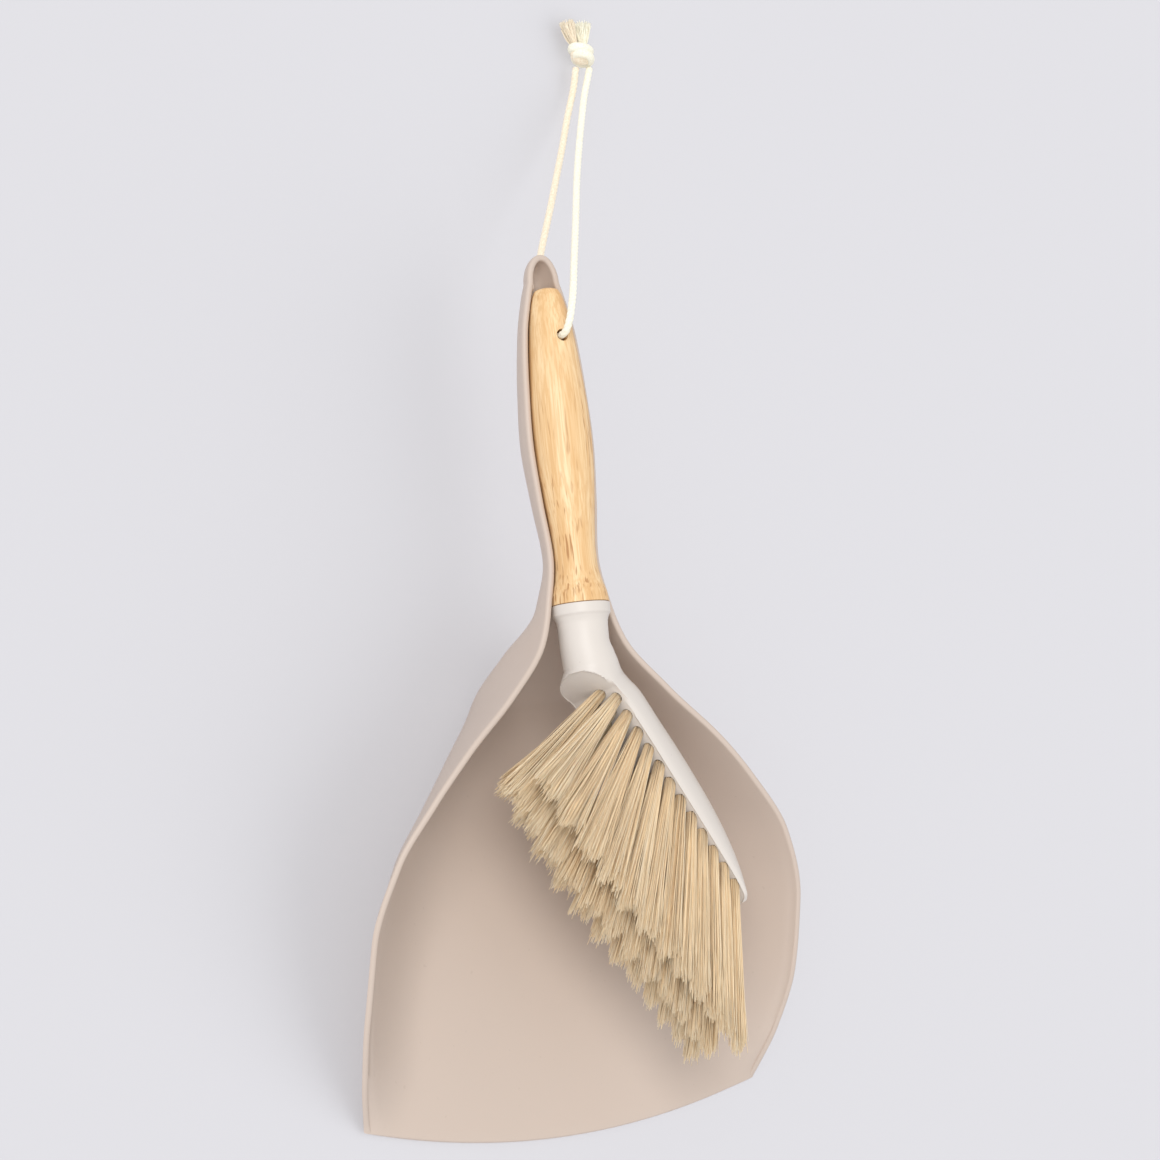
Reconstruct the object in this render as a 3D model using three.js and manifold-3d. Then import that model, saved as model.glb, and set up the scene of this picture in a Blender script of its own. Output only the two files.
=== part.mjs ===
// A dust pan and brush set: a moulded leaf-shaped pan whose side walls fold up into an open trough
// handle, a hand brush with a turned bamboo handle that nests in that trough, and the cotton cord
// that is threaded through both. Millimetres, +Z up; the pan lies on its flat base, its lip
// towards -Y and its handle towards +Y, and the origin is under the middle of the set.
import * as THREE from 'three';
import { mergeVertices } from 'three/addons/utils/BufferGeometryUtils.js';
import Module from 'manifold-3d';

// ---- Driving dimensions ---------------------------------------------------------------------
// Lengths along the set are measured from the lip's two corners towards the tip of the handle.
const PAN_LENGTH = 353;         // lip corners to handle tip
const LIP_BOW = 13.6;           // the lip's middle runs this far ahead of its corners
const LIP_BOW_REACH = 120;      // and the floor follows it this far back
const LIP_HALF = 95.3;          // half the width of the mouth
const WALL = 2.7;               // wall and rim of the pan
const FLOOR = 2.5;              // floor of the pan
const PAN_SLICES = 42;          // steps of the shell along the pan
const PAN_STEPS = 22;           // steps of the shell from rim to rim

const BRUSH_Z = 58;             // axis of the bamboo handle above the base
const BAMBOO_START = 205;       // joint between bamboo handle and brush head
const BAMBOO_END = 337.8;
const SPIGOT_RADIUS = 5.2;      // the head's spigot, glued into a blind bore in the bamboo
const SPIGOT_LENGTH = 22;
const GAP = 0.3;                // between two pieces that touch
const TROUGH_START = 225;       // the trough handle's own solid starts here, at the narrowest place
const COLLAR_RADIUS = 12.2;

const CORD_DIAMETER = 3;
const CORD_Y = 316.3;           // the cord's holes in the bamboo handle and in the trough
const HOLE_RADIUS = 2.6;
const CORD_SIDES = 8;

const ROW_PITCH = 8.52;         // tuft to tuft along the head
const ROW_GAP = 6.2;            // row to row across the head
const ROW_ANGLE = 30.75;        // degrees from -Y towards +X, the way the head points
const FIRST_ROOT = [5.3, 163.1, 60.3]; // where the middle row crosses the first pitch
const FACE_TILT = 22;           // degrees the brush's tuft face is rolled upwards in the trough
const HOLE_DEPTH = 3.6;         // blind tuft holes
const TUFT_ROOT_RADIUS = 2.1;
const TUFT_HOLE_RADIUS = 2.5;
const TUFT_SPLAY = 11;          // the outer rows' ends lean this much further out
const TUFT_SIDES = 8;

// The set stands centred over the origin.
const CENTRE_Y = (PAN_LENGTH - LIP_BOW) / 2;

// ---- Materials ------------------------------------------------------------------------------
const finish = (color, roughness) => new THREE.MeshStandardMaterial({ color, roughness, metalness: 0 });
const panPlastic = finish(0xd8c9bd, 0.45);
const headPlastic = finish(0xe6ded6, 0.4);
const bamboo = finish(0xe6bd84, 0.55);
const bristle = finish(0xcfb487, 0.8);
const cotton = finish(0xf1e8d8, 0.95);

// ---- Helpers --------------------------------------------------------------------------------
const wasm = await Module();
wasm.setup();

/** Welds a geometry's vertices by position alone. */
function weld(geometry) {
  const bare = geometry.clone();
  bare.deleteAttribute('normal');
  bare.deleteAttribute('uv');
  return mergeVertices(bare, 1e-4);
}

function toSolid(geometry) {
  const bare = weld(geometry);
  return new wasm.Manifold(new wasm.Mesh({
    numProp: 3,
    vertProperties: Float32Array.from(bare.attributes.position.array),
    triVerts: Uint32Array.from(bare.index.array),
  }));
}

function toGeometry(solid) {
  const mesh = solid.getMesh();
  const geometry = new THREE.BufferGeometry();
  geometry.setAttribute('position', new THREE.BufferAttribute(mesh.vertProperties, 3));
  geometry.setIndex(new THREE.BufferAttribute(mesh.triVerts, 1));
  geometry.computeVertexNormals();
  return geometry;
}

function indexed(points, triangles) {
  const geometry = new THREE.BufferGeometry();
  geometry.setAttribute('position', new THREE.Float32BufferAttribute(points.flat(), 3));
  geometry.setIndex(triangles);
  geometry.computeVertexNormals();
  return geometry;
}

/** A closed solid through rings of equally many points, with a fan over each end. */
function loft(rings) {
  const sides = rings[0].length;
  const points = rings.flat();
  const triangles = [];
  for (let ring = 0; ring < rings.length - 1; ring++) {
    for (let side = 0; side < sides; side++) {
      const a = ring * sides + side;
      const b = ring * sides + (side + 1) % sides;
      triangles.push(a, b, b + sides, a, b + sides, a + sides);
    }
  }
  for (const [ring, first] of [[rings[0], 0], [rings.at(-1), (rings.length - 1) * sides]]) {
    const middle = [0, 1, 2].map((axis) => ring.reduce((sum, p) => sum + p[axis], 0) / sides);
    const hub = points.push(middle) - 1;
    for (let side = 0; side < sides; side++) {
      const next = first + (side + 1) % sides;
      if (first === 0) triangles.push(hub, next, first + side);
      else triangles.push(hub, first + side, next);
    }
  }
  return indexed(points, triangles);
}

/** Smooth value at x of a table of [x, value, ...] rows, by cubics that never overshoot them. */
function along(table, x, column) {
  let i = 0;
  while (i < table.length - 2 && x > table[i + 1][0]) i++;
  const [x0, x1] = [table[i][0], table[i + 1][0]];
  const [y0, y1] = [table[i][column], table[i + 1][column]];
  const slope = (a, b) => (table[b][column] - table[a][column]) / (table[b][0] - table[a][0]);
  const limit = (left, right) => (left * right <= 0 ? 0 : 2 * left * right / (left + right));
  const here = slope(i, i + 1);
  const m0 = i > 0 ? limit(slope(i - 1, i), here) : here;
  const m1 = i < table.length - 2 ? limit(here, slope(i + 1, i + 2)) : here;
  const t = Math.min(1, Math.max(0, (x - x0) / (x1 - x0)));
  const h = x1 - x0;
  return (2 * t ** 3 - 3 * t ** 2 + 1) * y0 + (t ** 3 - 2 * t ** 2 + t) * h * m0
    + (-2 * t ** 3 + 3 * t ** 2) * y1 + (t ** 3 - t ** 2) * h * m1;
}

/** A solid of revolution about the brush's axis from [radius, y] points. */
function turned(profile, segments) {
  const geometry = new THREE.LatheGeometry(profile.map(([r, y]) => new THREE.Vector2(r, y)), segments);
  geometry.translate(0, 0, BRUSH_Z);
  return geometry;
}

/** An upright cylinder between two heights at a point of the plan. */
function post(radius, x, y, low, high, sides = 16) {
  const geometry = new THREE.CylinderGeometry(radius, radius, high - low, sides);
  geometry.rotateX(Math.PI / 2);
  geometry.translate(x, y, (low + high) / 2);
  return geometry;
}

// ---- Dust pan -------------------------------------------------------------------------------
// Sections across the pan, from the lip to the tip of the handle:
// [y, half width, rim height, base height, flat half width, wall power, roundness]
const PAN_SECTIONS = [
  [0, LIP_HALF, FLOOR + 0.3, 0, 80, 1.6, 1],
  [20, 100.9, 17.5, 0, 70, 1.7, 1],
  [45, 103.9, 32, 0, 64, 1.8, 1],
  [75, 103, 43.5, 0, 54, 1.9, 1],
  [105, 93.8, 53.3, 0, 42.4, 2.3, 1.1],
  [128, 77.5, 58, 0, 35, 2.2, 1.15],
  [148, 60, 60, 0, 29, 2.15, 1.25],
  [169, 38, 60, 1, 24, 1.8, 1.55],
  [190, 20.6, 58.5, 18, 14, 3.1, 1.9],
  [206, 15.4, 57.7, 37.5, 0, 3.2, 2.3],
  [225, 12.1, 57.5, 42, 0, 2.2, 2],
  [249, 14.3, 57.5, 39.3, 0, 2.2, 2],
  [274, 15.8, 57.5, 36.5, 0, 2.2, 2],
  [297, 14.8, 57.5, 38.3, 0, 2.2, 2],
  [319, 12.8, 57.5, 41.5, 0, 2.2, 2],
  [336, 9, 57.5, 44, 0, 2.2, 2],
  [347, 5.6, 57.5, 48.5, 0, 2, 2],
];
const NOSE_START = 341;         // from here the rim closes in an arc
const NOSE_BASE = 53;           // and the underside rises to this height
const OUTLINE_STEPS = 240;      // points of a section before it is spaced evenly
const FLAT_SHARE = 0.9;         // the flat never takes more of a section's width than this

function halfWidth(y) {
  if (y <= NOSE_START) return along(PAN_SECTIONS, y, 1);
  const t = (y - NOSE_START) / (PAN_LENGTH - NOSE_START);
  return along(PAN_SECTIONS, NOSE_START, 1) * Math.sqrt(Math.max(0, 1 - t * t));
}

function baseHeight(y) {
  if (y <= NOSE_START) return along(PAN_SECTIONS, y, 3);
  const t = (y - NOSE_START) / (PAN_LENGTH - NOSE_START);
  const start = along(PAN_SECTIONS, NOSE_START, 3);
  return start + (NOSE_BASE - start) * (1 - Math.sqrt(Math.max(0, 1 - t * t)));
}

/** One section as points from the left rim under to the right rim, equally spaced on its arc. */
function panSection(y, inside) {
  const half = halfWidth(y);
  const probe = Math.min(0.05, (PAN_LENGTH - y) / 2 + 1e-5);
  const lean = (halfWidth(y + probe) - halfWidth(y - probe)) / (2 * probe);
  const length = Math.hypot(1, lean);
  const width = inside ? Math.max(0, half - WALL / length) : half;
  const shift = inside ? WALL * lean / length : 0;
  const rim = along(PAN_SECTIONS, y, 2);
  const base = baseHeight(y) + (inside ? FLOOR : 0);
  const flat = Math.min(along(PAN_SECTIONS, y, 4), width * FLAT_SHARE);
  const power = along(PAN_SECTIONS, y, 5);
  const round = along(PAN_SECTIONS, y, 6);
  const outline = [];
  for (let i = 0; i <= OUTLINE_STEPS; i++) {
    const u = Math.sin((i / OUTLINE_STEPS) * Math.PI / 2);
    const rise = 1 - Math.max(0, 1 - u ** power) ** (1 / round);
    outline.push([flat + (width - flat) * u, base + (rim - base) * rise]);
  }
  outline.unshift([0, base]);
  const reach = [0];
  for (let i = 1; i < outline.length; i++) {
    const step = Math.hypot(outline[i][0] - outline[i - 1][0], outline[i][1] - outline[i - 1][1]);
    reach.push(reach[i - 1] + step);
  }
  const points = [];
  for (let step = -PAN_STEPS / 2; step <= PAN_STEPS / 2; step++) {
    const want = Math.abs(step) / (PAN_STEPS / 2) * reach.at(-1);
    let i = 1;
    while (i < reach.length - 1 && reach[i] < want) i++;
    const t = Math.min(1, (want - reach[i - 1]) / Math.max(1e-9, reach[i] - reach[i - 1]));
    const x = outline[i - 1][0] + (outline[i][0] - outline[i - 1][0]) * t;
    const z = outline[i - 1][1] + (outline[i][1] - outline[i - 1][1]) * t;
    const fade = Math.max(0, 1 - y / LIP_BOW_REACH) ** 2;
    const bow = LIP_BOW * Math.max(0, 1 - (x / LIP_HALF) ** 2) * fade;
    points.push([Math.sign(step) * x, y + shift - bow, z]);
  }
  return points;
}

/** The whole moulding: scoop, shoulders and trough handle. */
function panShell() {
  const stations = [];
  for (let i = 0; i <= PAN_SLICES; i++) {
    const t = i / PAN_SLICES;
    stations.push(PAN_LENGTH * (1 - (1 - t) ** 1.35 * (1 - 0.12 * t)));
  }
  stations[0] = 0;
  const outer = stations.map((y) => panSection(y, false));
  const inner = stations.map((y) => panSection(y, true));
  const row = PAN_STEPS + 1;
  const offset = outer.length * row;
  const points = [...outer.flat(), ...inner.flat()];
  const triangles = [];
  const quad = (a, b, c, d) => triangles.push(a, b, c, a, c, d);
  for (let i = 0; i < stations.length - 1; i++) {
    for (let j = 0; j < PAN_STEPS; j++) {
      const a = i * row + j;
      quad(a, a + row, a + row + 1, a + 1);
      quad(offset + a, offset + a + 1, offset + a + row + 1, offset + a + row);
    }
    const left = i * row;
    const right = left + PAN_STEPS;
    quad(left, offset + left, offset + left + row, left + row);
    quad(right, right + row, offset + right + row, offset + right);
  }
  for (let j = 0; j < PAN_STEPS; j++) quad(j, j + 1, offset + j + 1, offset + j);
  const shell = toSolid(indexed(points, triangles));
  const hole = toSolid(post(HOLE_RADIUS, 0, CORD_Y, baseHeight(CORD_Y) - 8, BRUSH_Z));
  return shell.subtract(hole);
}

/** The stretch of the moulding from one length to another. */
function panStretch(shell, start, end) {
  const length = end - start;
  const box = new THREE.BoxGeometry(4 * LIP_HALF, length, 4 * LIP_HALF);
  box.translate(0, start + length / 2, 0);
  return toGeometry(shell.intersect(toSolid(box)));
}

// ---- Brush ----------------------------------------------------------------------------------
// Turned outline of the bamboo handle: [y, radius]
const BAMBOO_PROFILE = [
  [BAMBOO_START, 12.2], [209, 11.7], [215, 9.9], [221, 9.0], [227, 8.9], [236, 9.5], [249, 10.8],
  [262, 11.9], [274, 12.3], [286, 12.1], [297, 11.4], [308, 10.5], [319, 9.3], [328, 7.9],
  [334, 6.5], [336.6, 5.2], [BAMBOO_END, 3.2],
];

function bambooHandle() {
  const bore = SPIGOT_RADIUS + GAP;
  const boreEnd = BAMBOO_START + SPIGOT_LENGTH + 1;
  const outline = [[0, boreEnd], [bore, boreEnd], [bore, BAMBOO_START]];
  for (const [y, radius] of BAMBOO_PROFILE) outline.push([radius, y]);
  outline.push([0, BAMBOO_END]);
  const body = toSolid(turned(outline, 28));
  return toGeometry(body.subtract(toSolid(post(HOLE_RADIUS, 0, CORD_Y, BRUSH_Z - 20, BRUSH_Z + 20))));
}

// Sections of the head from the collar to its far end:
// [middle x, middle y, reach to the front and to the back, half height, degrees its path has turned]
// The tuft face is cut flat from it afterwards, so in the block it is built out past that face.
const HEAD_SECTIONS = [
  [0, 204.6, 12.2, 12.2, 12.2, 0],
  [0, 201, 12.2, 12.2, 12.2, 0],
  [0, 199.4, 11.4, 11.4, 11.4, 0],
  [0, 196.5, 10.6, 10.6, 10.6, 0],
  [0, 190, 10.4, 10.4, 10.5, 0],
  [0.6, 183.5, 10.7, 11.6, 10.9, 6],
  [2.4, 175.6, 11.4, 12.6, 11.3, 14],
  [6.3, 168.6, 10.8, 13.2, 11.7, 23],
  [12, 162.4, 8.4, 12.8, 11.8, 28],
  [20, 149.6, 6.1, 12.6, 11.8, 30.75],
  [29, 134, 5.3, 13, 11.5, 30.75],
  [39, 117.2, 4.6, 12.4, 11.1, 30.75],
  [48.8, 100.2, 3.9, 10.6, 10.6, 29],
  [56.4, 86.4, 3.3, 7, 10, 26],
  [59.6, 79.6, 2.8, 3.6, 9.2, 22],
  [60.6, 77.2, 1.7, 1.9, 7.2, 20],
];
const HEAD_SIDES = 20;
const BLOCK_TURN = 10;          // sections turned further than this belong to the tufts' block
const FRONT_SQUARENESS = 3.4;   // 2 is round, as the neck is
const BACK_SQUARENESS = 1.4;   // less than 2 slopes flatly down to the back
const FRONT_REACH = 7;          // how far the block is built out before its face is cut

function headSection([x, y, thick, back, high, turn]) {
  const angle = THREE.MathUtils.degToRad(turn);
  const ring = [];
  for (let side = 0; side < HEAD_SIDES; side++) {
    const t = (side / HEAD_SIDES) * Math.PI * 2;
    const front = Math.cos(t) < 0;
    const block = Math.min(1, Math.max(0, (turn - BLOCK_TURN) / BLOCK_TURN));
    const square = 2 + ((front ? FRONT_SQUARENESS : BACK_SQUARENESS) - 2) * block;
    const reach = front ? thick + FRONT_REACH * block : back;
    const across = reach * Math.sign(Math.cos(t)) * Math.abs(Math.cos(t)) ** (2 / square);
    const up = high * Math.sign(Math.sin(t)) * Math.abs(Math.sin(t)) ** (2 / square);
    ring.push([x + across * Math.cos(angle), y + across * Math.sin(angle), BRUSH_Z + up]);
  }
  return ring;
}

// Three staggered rows of tufts. Each row: its height over the brush's axis, where along the head
// its first root stands (in pitches), how many tufts, how far their ends lean up or down, and
// their length at the heel and at the far end.
const TUFT_ROWS = [
  { name: 'top', height: ROW_GAP, start: 0, count: 12, lean: TUFT_SPLAY, short: 57, long: 69 },
  { name: 'middle', height: 0, start: -0.5, count: 12, lean: 0, short: 60, long: 71 },
  { name: 'bottom', height: -ROW_GAP, start: 0, count: 12, lean: -TUFT_SPLAY, short: 52, long: 69 },
];
const FAN_START = 50;           // degrees from -Y towards -X at the heel
const FAN_END = 12;             // and at the far end
const FAN_EASE = 2.1;           // most of the fan opens near the heel
const LAST_PLACE = 11;          // pitches from the first root to the last
const ROWS_DRAW_IN = 0.15;      // share by which the rows draw together towards the far end
const TUFT_STRAIGHT = 6;        // a tuft stays round this far out of its hole
const TUFT_TIP_HALF_HEIGHT = 4.6;
const TUFT_TIP_SHARE = 0.4;     // half width of a tuft's end over the spacing of the ends
const HOLE_CUT = 5;             // the holes' cutters reach this far out of the tuft face
const FACE_CUT = 160;           // size of the block that cuts the tuft face

// Directions of the tuft face: along its rows, out of it and up it.
const rowAngle = THREE.MathUtils.degToRad(ROW_ANGLE);
const faceTilt = THREE.MathUtils.degToRad(FACE_TILT);
const ALONG_ROWS = new THREE.Vector3(Math.sin(rowAngle), -Math.cos(rowAngle), 0);
const FACE_OUT = new THREE.Vector3(
  -Math.cos(rowAngle) * Math.cos(faceTilt),
  -Math.sin(rowAngle) * Math.cos(faceTilt),
  Math.sin(faceTilt),
);
const FACE_UP = new THREE.Vector3().crossVectors(FACE_OUT, ALONG_ROWS);

function rootAt(place, height) {
  return new THREE.Vector3(...FIRST_ROOT)
    .addScaledVector(ALONG_ROWS, place * ROW_PITCH)
    .addScaledVector(FACE_UP, height);
}

function tuftLine(row, index) {
  const place = row.start + index;
  const u = Math.min(1, Math.max(0, place / LAST_PLACE));
  const fan = THREE.MathUtils.degToRad(FAN_END + (FAN_START - FAN_END) * (1 - u) ** FAN_EASE);
  const length = row.short + (row.long - row.short) * (1 - (1 - u) ** 2);
  const root = rootAt(place, row.height * (1 - ROWS_DRAW_IN * u));
  const flat = Math.sqrt(length ** 2 - row.lean ** 2);
  const way = new THREE.Vector3(-Math.sin(fan) * flat, -Math.cos(fan) * flat, row.lean).normalize();
  return { root, way, length, fan };
}

/** A round-rooted tuft that flattens and widens to its trimmed end. */
function tuft(row, index) {
  const line = tuftLine(row, index);
  const beside = tuftLine(row, index + 1);
  const tip = line.root.clone().addScaledVector(line.way, line.length);
  const nextTip = beside.root.clone().addScaledVector(beside.way, beside.length);
  const gap = nextTip.sub(tip);
  const spacing = Math.abs(gap.x * Math.cos(line.fan) - gap.y * Math.sin(line.fan));
  const tipWide = Math.max(TUFT_ROOT_RADIUS, TUFT_TIP_SHARE * spacing);
  const across = new THREE.Vector3(Math.cos(line.fan), -Math.sin(line.fan), 0);
  const up = new THREE.Vector3().crossVectors(line.way, across).normalize();
  const ring = (reach, wide, tall) => {
    const middle = line.root.clone().addScaledVector(line.way, reach);
    const points = [];
    for (let side = 0; side < TUFT_SIDES; side++) {
      const t = (side / TUFT_SIDES) * Math.PI * 2;
      points.push(middle.clone()
        .addScaledVector(across, wide * Math.cos(t))
        .addScaledVector(up, tall * Math.sin(t))
        .toArray());
    }
    return points;
  };
  return loft([
    ring(GAP - HOLE_DEPTH, TUFT_ROOT_RADIUS, TUFT_ROOT_RADIUS),
    ring(TUFT_STRAIGHT, TUFT_ROOT_RADIUS, TUFT_ROOT_RADIUS),
    ring(line.length, tipWide, TUFT_TIP_HALF_HEIGHT),
  ]);
}

/** The blind hole that a tuft is set in. */
function tuftHole(row, index) {
  const { root, way } = tuftLine(row, index);
  const reach = HOLE_DEPTH + HOLE_CUT;
  const geometry = new THREE.CylinderGeometry(TUFT_HOLE_RADIUS, TUFT_HOLE_RADIUS, reach, TUFT_SIDES);
  geometry.applyQuaternion(new THREE.Quaternion().setFromUnitVectors(new THREE.Vector3(0, 1, 0), way));
  const middle = root.clone().addScaledVector(way, reach / 2 - HOLE_DEPTH);
  geometry.translate(middle.x, middle.y, middle.z);
  return geometry;
}

function eachTuft(make) {
  for (const row of TUFT_ROWS) {
    for (let index = 0; index < row.count; index++) make(row, index);
  }
}

/** All that lies in front of the tuft face. */
function faceCutter() {
  const geometry = new THREE.BoxGeometry(FACE_CUT, FACE_CUT, FACE_CUT);
  const basis = new THREE.Matrix4().makeBasis(FACE_OUT, ALONG_ROWS, FACE_UP);
  geometry.applyMatrix4(basis);
  const middle = rootAt(LAST_PLACE / 2, 0).addScaledVector(FACE_OUT, FACE_CUT / 2);
  geometry.translate(middle.x, middle.y, middle.z);
  return geometry;
}

function brushHead() {
  const rings = HEAD_SECTIONS.map(headSection);
  let solid = toSolid(loft(rings)).subtract(toSolid(faceCutter()));
  const spigot = turned([
    [0, BAMBOO_START - 6], [SPIGOT_RADIUS, BAMBOO_START - 6],
    [SPIGOT_RADIUS, BAMBOO_START + SPIGOT_LENGTH], [0, BAMBOO_START + SPIGOT_LENGTH],
  ], 20);
  solid = solid.add(toSolid(spigot));
  eachTuft((row, index) => {
    solid = solid.subtract(toSolid(tuftHole(row, index)));
  });
  return toGeometry(solid);
}

// ---- Cord -----------------------------------------------------------------------------------
// The cord goes through the brush handle and the trough under it. Its front end comes out on top
// of the handle and its back end under the trough, and both run down to the knot.
const FRONT_ROUTE = [
  [0, 316.3, 46.4], [0, 316.3, 56], [0, 316.3, 66], [0.1, 317.4, 70.6], [0.7, 321.5, 73.4],
  [2.2, 327, 73.6], [5.4, 334.4, 70.8], [10.6, 346, 65], [17.6, 359.6, 56.6], [25.8, 375, 46.6],
  [34.6, 391.6, 35.6], [43.8, 408.4, 25], [52.8, 425, 15.4], [60.4, 440, 8.4], [65.4, 450.4, 5.4],
  [66.4, 453.2, 5.2],
];
const BACK_ROUTE = [
  [0, 316.3, 46.1], [0, 316.3, 40], [0.4, 317.4, 36.4], [2.2, 321.6, 33.4], [5.2, 330, 32.4],
  [9.6, 345, 33], [14.4, 360.2, 33], [20.2, 371.8, 29.6], [26.8, 383.8, 25], [34.8, 398.2, 18.8],
  [43.4, 413.4, 12], [51.2, 430, 7], [57, 443.6, 5], [59.4, 453, 5],
];
const KNOT = [62.6, 459, 6];
const KNOT_HALF = [7, 5.2, 5.7];
const KNOT_TURN = -12;          // degrees in plan
const CORD_STEPS = 36;

function cordPiece(route) {
  const points = route.map((point) => new THREE.Vector3(...point));
  const curve = new THREE.CatmullRomCurve3(points, false, 'centripetal');
  const outline = new THREE.Shape();
  for (let side = 0; side <= CORD_SIDES; side++) {
    const t = (side / CORD_SIDES) * Math.PI * 2;
    const at = [CORD_DIAMETER / 2 * Math.cos(t), CORD_DIAMETER / 2 * Math.sin(t)];
    if (side === 0) outline.moveTo(...at);
    else outline.lineTo(...at);
  }
  return new THREE.ExtrudeGeometry(outline, { steps: CORD_STEPS, extrudePath: curve });
}

function knot() {
  const geometry = new THREE.SphereGeometry(1, 14, 10);
  geometry.scale(...KNOT_HALF);
  geometry.rotateZ(THREE.MathUtils.degToRad(KNOT_TURN));
  geometry.translate(...KNOT);
  return geometry;
}

/** A frayed end of the cord beyond the knot, wider at its end. */
function tail(from, to, endRadius) {
  const start = new THREE.Vector3(...from);
  const end = new THREE.Vector3(...to);
  const geometry = new THREE.CylinderGeometry(endRadius, CORD_DIAMETER / 2, start.distanceTo(end), 8);
  const way = end.clone().sub(start).normalize();
  geometry.applyQuaternion(new THREE.Quaternion().setFromUnitVectors(new THREE.Vector3(0, 1, 0), way));
  const middle = start.add(end).multiplyScalar(0.5);
  geometry.translate(middle.x, middle.y, middle.z);
  return geometry;
}

// ---- Assembly -------------------------------------------------------------------------------
const set = new THREE.Group();
set.position.y = -CENTRE_Y;

function piece(name, geometry, material) {
  const mesh = new THREE.Mesh(geometry, material);
  mesh.name = name;
  set.add(mesh);
}

const shell = panShell();
piece('dustpan', panStretch(shell, -LIP_HALF, TROUGH_START), panPlastic);
piece('dustpan_handle', panStretch(shell, TROUGH_START + GAP, PAN_LENGTH + LIP_HALF), panPlastic);
piece('brush_head', brushHead(), headPlastic);
piece('bamboo_handle', bambooHandle(), bamboo);
eachTuft((row, index) => {
  piece(`tuft_${row.name}_${String(index + 1).padStart(2, '0')}`, tuft(row, index), bristle);
});
piece('cord_front', cordPiece(FRONT_ROUTE), cotton);
piece('cord_back', cordPiece(BACK_ROUTE), cotton);
piece('cord_knot', knot(), cotton);
piece('cord_tail_left', tail([59.6, 465, 5], [56.8, 474.5, 4.4], 3.4), cotton);
piece('cord_tail_right', tail([65, 465, 5], [65.6, 474, 4], 3.2), cotton);

const part = new THREE.Group();
part.add(set);

export default part;
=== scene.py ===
"""Looks of the dust pan and brush set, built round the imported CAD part.

Shapes are given in millimetres in the set's own drawing frame, whose Y is measured from the two
corners of the lip; place() puts them in the row frame, in metres.
"""

import math

import bmesh
import bpy
import numpy as np
from mathutils import Matrix, Vector


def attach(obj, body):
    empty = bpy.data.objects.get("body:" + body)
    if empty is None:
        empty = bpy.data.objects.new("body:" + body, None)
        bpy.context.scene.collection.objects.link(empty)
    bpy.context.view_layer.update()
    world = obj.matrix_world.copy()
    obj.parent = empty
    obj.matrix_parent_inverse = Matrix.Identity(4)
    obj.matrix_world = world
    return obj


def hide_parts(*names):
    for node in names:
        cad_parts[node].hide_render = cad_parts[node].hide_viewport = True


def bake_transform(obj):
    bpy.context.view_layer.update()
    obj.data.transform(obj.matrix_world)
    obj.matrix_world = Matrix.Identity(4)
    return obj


MM = 0.001
CENTRE_Y = 169.7          # drawing Y of the row frame's origin
BRUSH_Z = 58.0            # axis of the bamboo handle
CORD_Y = 316.3            # the cord's holes
random = np.random.default_rng(11)

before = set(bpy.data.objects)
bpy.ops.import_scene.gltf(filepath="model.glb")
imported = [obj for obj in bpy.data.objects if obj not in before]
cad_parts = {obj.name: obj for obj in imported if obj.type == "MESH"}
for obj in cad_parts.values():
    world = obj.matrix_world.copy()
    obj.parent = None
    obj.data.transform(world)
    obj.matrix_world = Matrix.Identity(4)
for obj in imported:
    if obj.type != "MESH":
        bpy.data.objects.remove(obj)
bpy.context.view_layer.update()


def place(points):
    """Drawing millimetres to row frame metres."""
    return (np.asarray(points, float) - (0, CENTRE_Y, 0)) * MM


# ---- Camera ---------------------------------------------------------------------------------
camera_data = bpy.data.cameras.new("camera")
camera = bpy.data.objects.new("camera", camera_data)
bpy.context.scene.collection.objects.link(camera)
CAMERA_AT = Vector((-0.597454, -0.090128, 1.064821))
CAMERA_RIGHT = Vector((0.86596, -0.10685, 0.48856))
CAMERA_UP = Vector((0.04718, 0.99001, 0.13289))
camera_back = CAMERA_RIGHT.cross(CAMERA_UP)
turn = Matrix((CAMERA_RIGHT, CAMERA_UP, camera_back)).transposed().to_4x4()
camera.matrix_world = Matrix.Translation(CAMERA_AT) @ turn
camera_data.sensor_width = 36.0
camera_data.lens = 88.5
camera_data.shift_x = 0.0251
camera_data.shift_y = 0.0596
camera_data.clip_start = 0.05
camera_data.clip_end = 20.0
bpy.context.scene.camera = camera


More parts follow.
